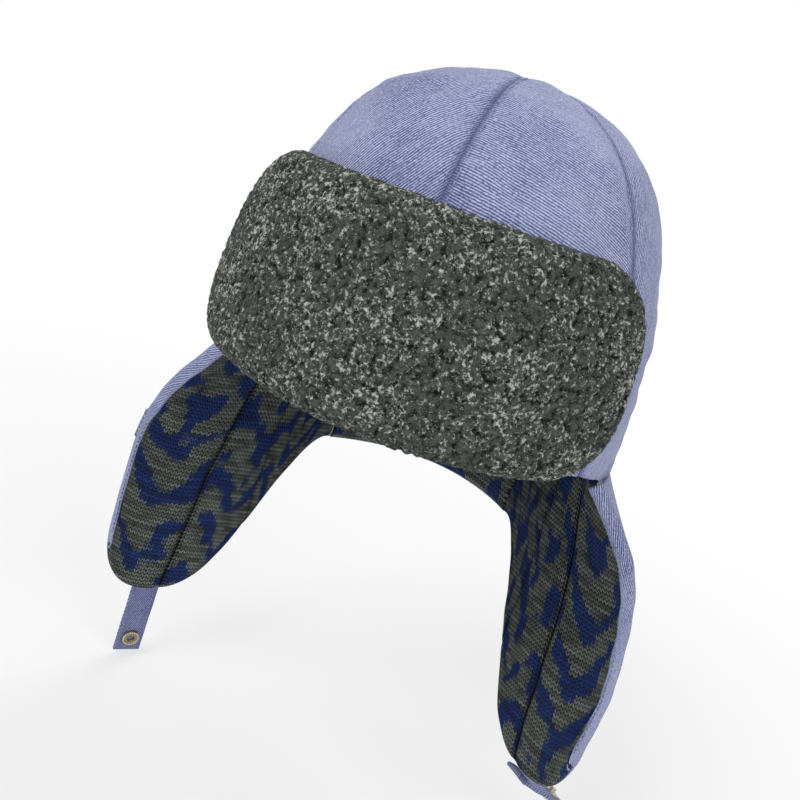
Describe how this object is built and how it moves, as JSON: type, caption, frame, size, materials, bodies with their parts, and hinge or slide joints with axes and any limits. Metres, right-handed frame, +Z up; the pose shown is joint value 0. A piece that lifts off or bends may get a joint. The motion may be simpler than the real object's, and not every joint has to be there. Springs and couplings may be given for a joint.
{
  "type": "trapper hat",
  "caption": "Padded winter trapper hat with a paneled dome crown, curly fleece front flap, knit-lined ear flaps with snap straps, and a neck flap.",
  "frame": {"origin": "centre of the head opening, in the plane of the rim", "axes": "+Z up the crown, -Y towards the face, +X towards the wearer's left"},
  "size_m": [0.2787, 0.2322, 0.359],
  "materials": {
    "chambray": "indigo chambray twill with pale flecks, matt",
    "strap_cloth": "indigo chambray, folded and edge stitched",
    "wadding": "soft polyester wadding",
    "knit": "chunky heather grey and royal blue patterned knit",
    "fleece": "curly charcoal fleece with cream flecks",
    "interlining": "thin felted interlining",
    "snap_metal": "pale antique metal, softly polished",
    "spring_wire": "spring wire",
    "pearl_cap": "glossy pearl white cap"
  },
  "bodies": {
    "crown": {"crown_panel_front_left": "chambray", "crown_panel_side_left": "chambray", "crown_panel_back_left": "chambray", "crown_batting_left": "wadding", "crown_lining_left": "knit", "crown_panel_front_right": "chambray", "crown_panel_side_right": "chambray", "crown_panel_back_right": "chambray", "crown_batting_right": "wadding", "crown_lining_right": "knit"},
    "front_flap": {"front_flap_fleece": "fleece", "front_flap_interlining": "interlining", "front_flap_backing": "chambray"},
    "ear_flap_left": {"ear_flap_left_outer": "chambray", "ear_flap_left_batting": "wadding", "ear_flap_left_lining_front": "knit", "ear_flap_left_lining_rear": "knit"},
    "ear_flap_right": {"ear_flap_right_outer": "chambray", "ear_flap_right_batting": "wadding", "ear_flap_right_lining_front": "knit", "ear_flap_right_lining_rear": "knit"},
    "neck_flap": {"neck_flap_outer": "chambray", "neck_flap_batting": "wadding", "neck_flap_lining": "knit"},
    "strap_left": {"strap_left": "strap_cloth", "snap_cap": "pearl_cap", "snap_stud": "snap_metal"},
    "strap_right": {"strap_right": "strap_cloth", "snap_socket": "snap_metal", "snap_prong_ring": "snap_metal", "snap_socket_spring": "spring_wire"}
  },
  "joints": [
    {"name": "front_flap_fold", "type": "hinge", "parent": "crown", "child": "front_flap", "pos_m": [0, -0.1125, 0.0105], "axis": [1, 0, 0], "range_deg": [0, 110]},
    {"name": "ear_flap_left_lift", "type": "hinge", "parent": "crown", "child": "ear_flap_left", "pos_m": [0.09176, 0.0265, -0.001], "axis": [0.2775, -0.9607, 0], "range_deg": [-10, 150]},
    {"name": "ear_flap_right_lift", "type": "hinge", "parent": "crown", "child": "ear_flap_right", "pos_m": [-0.09176, 0.0265, -0.001], "axis": [0.2775, 0.9607, 0], "range_deg": [-10, 150]},
    {"name": "neck_flap_lift", "type": "hinge", "parent": "crown", "child": "neck_flap", "pos_m": [0, 0.112, -0.0004], "axis": [1, 0, 0], "range_deg": [0, 110]},
    {"name": "strap_left_swing", "type": "hinge", "parent": "ear_flap_left", "child": "strap_left", "pos_m": [0.11363, 0.00963, -0.1701], "axis": [0.721, -0.6929, 0], "range_deg": [-155, 35]},
    {"name": "strap_right_swing", "type": "hinge", "parent": "ear_flap_right", "child": "strap_right", "pos_m": [-0.11363, 0.00963, -0.1701], "axis": [0.721, 0.6929, 0], "range_deg": [-100, 90]}
  ]
}
